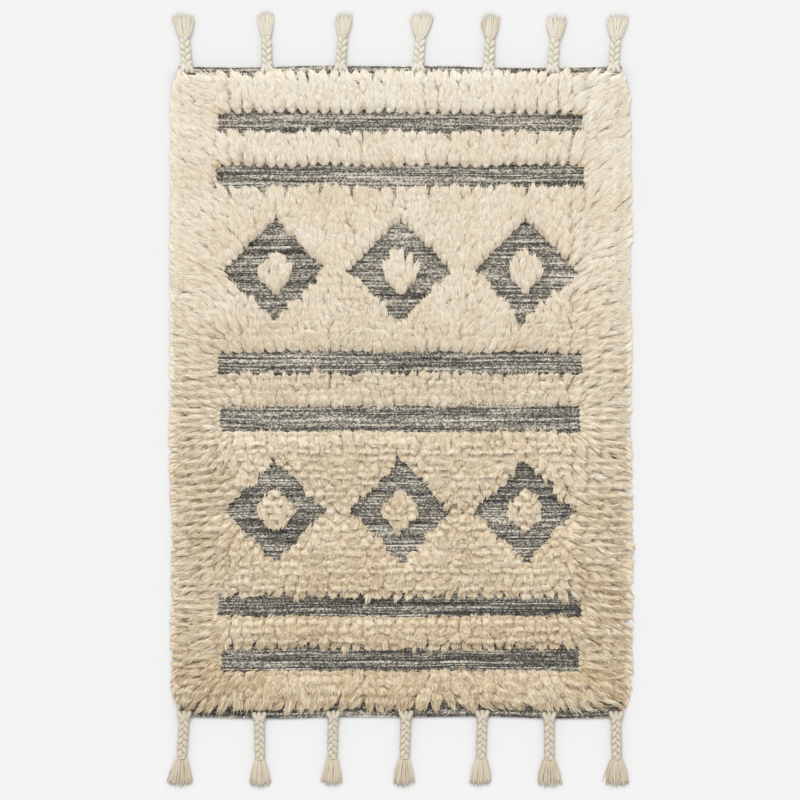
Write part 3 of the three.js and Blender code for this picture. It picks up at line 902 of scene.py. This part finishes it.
def make_ground():
    """The flat-woven cloth: a rib for every weft, and its rows waver a little as woven rows do."""
    half_x = CLOTH_WIDTH / 2
    half_y = CLOTH_LENGTH / 2
    ribs = round(CLOTH_LENGTH / WEFT_PITCH)
    columns = CLOTH_COLUMNS
    rows = 2 * ribs + 1
    x, y = np.meshgrid(np.linspace(-half_x, half_x, columns), np.linspace(-half_y, half_y, rows))
    inner = np.minimum((half_y - np.abs(y)) / (20 * MM), 1)
    waver = 1.3 * MM * field("weft", x, y) * inner
    end_waver = np.sign(y) * MM * row_shift(x / MM, np.sign(y)) * (np.abs(y) / half_y) ** 6
    rise = np.where(np.arange(rows) % 2 == 1, WEFT_DEPTH, 0)[:, None] * np.ones_like(x)
    top = np.stack([x, y + waver + end_waver, CLOTH_THICKNESS - WEFT_DEPTH + rise], -1)
    top[..., :2] += CLOTH_MIDDLE

    # The underside needs fewer rows. The faces along the ends and sides join it to the top.
    low_rows = np.linspace(0, rows - 1, 2 * ribs // 8 + 1).round().astype(int)
    low = top[low_rows].copy()
    low[..., 2] = 0
    points = np.concatenate([top.reshape(-1, 3), low.reshape(-1, 3)])
    first_low = rows * columns

    def grid(count, start):
        row, column = np.meshgrid(np.arange(count - 1), np.arange(columns - 1), indexing="ij")
        here = (row * columns + column).ravel() + start
        return np.stack([here, here + 1, here + columns + 1, here + columns], 1)

    up = grid(rows, 0)
    down = grid(len(low_rows), first_low)[:, ::-1]
    left = np.arange(columns - 1)
    right = left + 1
    foot = np.stack([first_low + left, first_low + right, right, left], 1)
    head_low = first_low + (len(low_rows) - 1) * columns
    head_top = (rows - 1) * columns
    head = np.stack([head_low + right, head_low + left, head_top + left, head_top + right], 1)
    sides = []
    for column, turn in ((0, 1), (columns - 1, -1)):
        for number, (low_row, high_row) in enumerate(zip(low_rows[:-1], low_rows[1:])):
            near = first_low + number * columns + column
            far = near + columns
            tops = [row * columns + column for row in range(low_row, high_row + 1)]
            for here, after in zip(tops[:-1], tops[1:]):
                sides.append([near, here, after][::turn])
            sides.append([near, tops[-1], far][::turn])
    sides = np.array(sides)

    across = (points[:, 0] - CLOTH_MIDDLE[0]) / CLOTH_WIDTH * CLOTH_MAP["width"] + 0.5
    upwards = np.concatenate([y.ravel(), y[low_rows].ravel()]) / CLOTH_LENGTH * CLOTH_MAP["height"] + 0.25
    face_uv = []
    for faces, lift in ((sides, 0), (up, 0), (foot, 0), (head, 0), (down, 0.5)):
        face_uv.append(np.stack([across[faces], upwards[faces] + lift], -1).reshape(-1, 2))
    faces = [sides, np.concatenate([up, foot, head, down])]
    return mesh_object("ground_cloth", points, faces, np.concatenate(face_uv), smooth=False)


ground = make_ground()
ground.data.materials.append(weave_material())
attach(ground, "root")
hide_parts("rug_field")


# Tassels, made in mm with their knot at the middle and their skirt towards +Y

YARN = wool_material("tassel_wool", roots=(0.6, 0.48, 0.32), dark_roots=(0.5, 0.38, 0.24), deep=0.02, twist=9,
                     streak=0.88, tones=[(0.0, (0.5, 0.4, 0.27)), (0.45, (0.7, 0.645, 0.54)),
                                         (0.9, (0.87, 0.825, 0.72))])


def bundle(path, offsets, radius, tone, sides):
    """Yarns that run side by side along a path (stations, 3), each at its own offset across and up."""
    tangent = unit(np.gradient(path, axis=0))
    across = unit(np.cross(UP, tangent))
    lift = np.cross(tangent, across)
    yarns = len(offsets)
    paths = path[None] + offsets[:, 0, None, None] * across[None] + offsets[:, 1, None, None] * lift[None]
    paths[..., 2] = np.maximum(paths[..., 2], radius + 0.05)
    shape = np.full(len(path), radius)
    shape[-1] = 0
    radii = np.broadcast_to(shape, (yarns, len(path)))
    side = np.broadcast_to(across[0], (yarns, 3))
    return strand_mesh(paths, radii, side, 1.0, np.full(yarns, 0.3), tone, sides)


def braid_parts(braid, tone):
    """Three bundles of yarn, plaited from the knot to the neck."""
    parts = []
    along = np.linspace(BRAID_START, braid + 1.5, int((braid + 10) / BRAID_STEP))
    on_cloth = 1 - step(along, -1.0, 6.0)
    turn = 2 * math.pi * np.maximum(along, 0) / BRAID_PERIOD
    narrow = 1 - 0.25 * step(along, braid - 8, braid)
    flare = 1 + 0.95 * step(-along, -1, 7)
    for lane in (-1, 0, 1):
        phase = turn + lane * 2 * math.pi / 3
        x = BRAID_SWING * np.sin(phase) * narrow * flare
        z = BRAID_MIDDLE + BRAID_LIFT * np.sin(2 * phase) * step(along, 0, 5) * narrow + 2.7 * on_cloth
        z = z - 2.2 * step(-along, 5, 9)
        path = np.stack([x, along, z], 1)
        shades = np.clip(tone + random.normal(0, 0.05, len(YARN_OFFSETS)) + YARN_EDGE_SHADE, DARKEST, PALEST)
        parts.append(bundle(path, YARN_OFFSETS, YARN_RADIUS, shades, 4))
        parts.append(bundle(path, CORE_OFFSET, CORE_RADIUS, np.array([tone]), 5))
    return parts


def wrap_part(y, tone):
    """One turn of yarn round the neck, at y."""
    angle = np.linspace(0, 2 * math.pi, 19)
    path = np.stack([WRAP["half_width"] * np.cos(angle), y + 0 * angle,
                     WRAP["middle"] + WRAP["half_height"] * np.sin(angle)], 1)
    radii = np.full((1, len(angle)), WRAP["radius"])
    side = np.array([[0.0, 1.0, 0.0]])
    return strand_mesh(path[None], radii, side, 1.0, np.zeros(1), np.array([tone]), 5)


def skirt_parts(braid, skirt, spread, ragged, tone):
    """Loose yarns below the neck, layer by layer."""
    parts = []
    for count, radius, height, shade, sides, shorter, longer, wave in SKIRT_LAYERS:
        place = (np.arange(count) + 0.5) / count * 2 - 1
        place = place + random.normal(0, 0.05 + 0.05 * longer, count)
        missing = 0.1 * place**2 + (0.05 + 0.13 * ragged) * random.random(count) + shorter
        length = skirt * (1 - missing) + (1.5 + 2.5 * ragged) * longer
        share = np.linspace(0, 1, SKIRT_STATIONS)[None, :]
        flare = 0.27 + 0.73 * share**0.75
        curl = ragged * random.normal(0, 1.2, (count, 1)) * share**2
        x = place[:, None] * (spread / 2 - 1.4) * flare + curl
        y = braid - 1 + share * length[:, None]
        level = height * (1 - 0.5 * place[:, None] ** 2)
        z = SKIRT_NECK + (level - SKIRT_NECK) * step(share, 0, 0.35) + 0.9 * np.sin(share * 4.2) * wave
        z = z * (1 - 0.35 * share) + 0.5
        paths = np.stack([x, y, np.maximum(z, radius + 0.1)], -1)
        paths[..., 0] += random.normal(0, 0.25, (count, SKIRT_STATIONS))
        radii = radius * SKIRT_SHAPE[None] * random.uniform(0.85, 1.1, (count, 1))
        side = np.tile([1.0, 0, 0], (count, 1))
        shades = np.clip(tone + shade + random.normal(0, 0.07, count), DARKEST, PALEST)
        roll = random.uniform(0, 6, count)
        parts.append(strand_mesh(paths, radii, side, 0.9, roll, shades, sides))
    return parts


def fuzz_part(middle, reach, count, tone):
    """Short frayed ends on both sides of a knot."""
    hand = np.where(np.arange(count) % 2, 1, -1)
    share = np.linspace(0, 1, 4)[None, :]
    swing = random.uniform(-0.7, 0.7, (count, 1))
    x = hand[:, None] * (3.5 + share * reach * np.cos(swing))
    y = middle + random.uniform(-2, 2, (count, 1)) + share * reach * np.sin(swing)
    z = 6.5 - 2.4 * share + random.uniform(-0.6, 0.6, (count, 1))
    paths = np.stack([x, y, z], -1)
    radii = np.array([1.1, 1.1, 0.8, 0])[None] * random.uniform(0.8, 1.1, (count, 1))
    side = np.tile([0.0, 1.0, 0], (count, 1))
    shades = np.clip(tone + random.normal(0, 0.07, count), DARKEST, PALEST)
    return strand_mesh(paths, radii, side, 1.0, random.uniform(0, 6, count), shades, 3)


def make_tassels(tassels, style, name):
    """All tassels of one end, each turned outward, leaned by its drift and set at its place."""
    end = style["end"]
    for number, (place, drift, braid, skirt, spread) in enumerate(tassels, 1):
        tone = style["tone"] + random.normal(0, 0.03)
        parts = braid_parts(braid, tone) + skirt_parts(braid, skirt, spread, style["ragged"], tone)
        parts.append(wrap_part(braid + 0.4, tone))
        parts.append(fuzz_part(*style["fuzz"], tone))
        points, faces, face_uv = joined(parts)
        points[:, 0] += end * drift / (braid + skirt) * np.maximum(points[:, 1], 0)
        points[:, :2] *= end
        points[:, :2] += [place, end * (CLOTH_LENGTH / MM / 2 + row_shift(place, end))]
        points *= MM
        points[:, :2] += CLOTH_MIDDLE
        node = f"tassel_{name}_{number}"
        piece = mesh_object(f"{node}_yarn", points, faces, face_uv)
        piece.data.materials.append(YARN)
        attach(piece, "root")
        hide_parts(node)


make_tassels(TOP_TASSELS, TOP_STYLE, "top")
make_tassels(FOOT_TASSELS, FOOT_STYLE, "foot")


# Floor, light and camera

def make_stage():
    """A pale floor, a bright surround and one soft light from the top left."""
    corners = FLOOR_HALF * np.array([[-1, -1, 0], [1, -1, 0], [1, 1, 0], [-1, 1, 0]], float)
    floor = mesh_object("studio_floor", corners, [np.array([[0, 1, 2, 3]])])
    paper = new_material("pale_paper")[0]
    shader = paper.node_tree.nodes["Principled BSDF"]
    shader.inputs["Base Color"].default_value = (FLOOR_GREY, FLOOR_GREY, FLOOR_GREY, 1)
    shader.inputs["Roughness"].default_value = 0.9
    floor.data.materials.append(paper)

    world = bpy.data.worlds.new("studio")
    world.use_nodes = True
    background = world.node_tree.nodes["Background"]
    background.inputs["Color"].default_value = (1, 1, 1, 1)
    background.inputs["Strength"].default_value = SURROUND
    bpy.context.scene.world = world

    lamp = bpy.data.lights.new("softbox", "SUN")
    lamp.energy = LAMP["energy"]
    lamp.angle = math.radians(LAMP["spread"])
    softbox = bpy.data.objects.new("softbox", lamp)
    softbox.rotation_euler = [math.radians(angle) for angle in LAMP["tilt"]]
    bpy.context.scene.collection.objects.link(softbox)


def make_camera():
    """A long lens straight above the rug."""
    data = bpy.data.cameras.new("camera")
    data.lens = LENS
    data.sensor_width = SENSOR
    camera = bpy.data.objects.new("camera", data)
    camera.location = (0, 0, VIEW_WIDTH * LENS / SENSOR)
    bpy.context.scene.collection.objects.link(camera)
    bpy.context.scene.camera = camera


make_stage()
make_camera()
bpy.context.scene.view_settings.view_transform = "Standard"
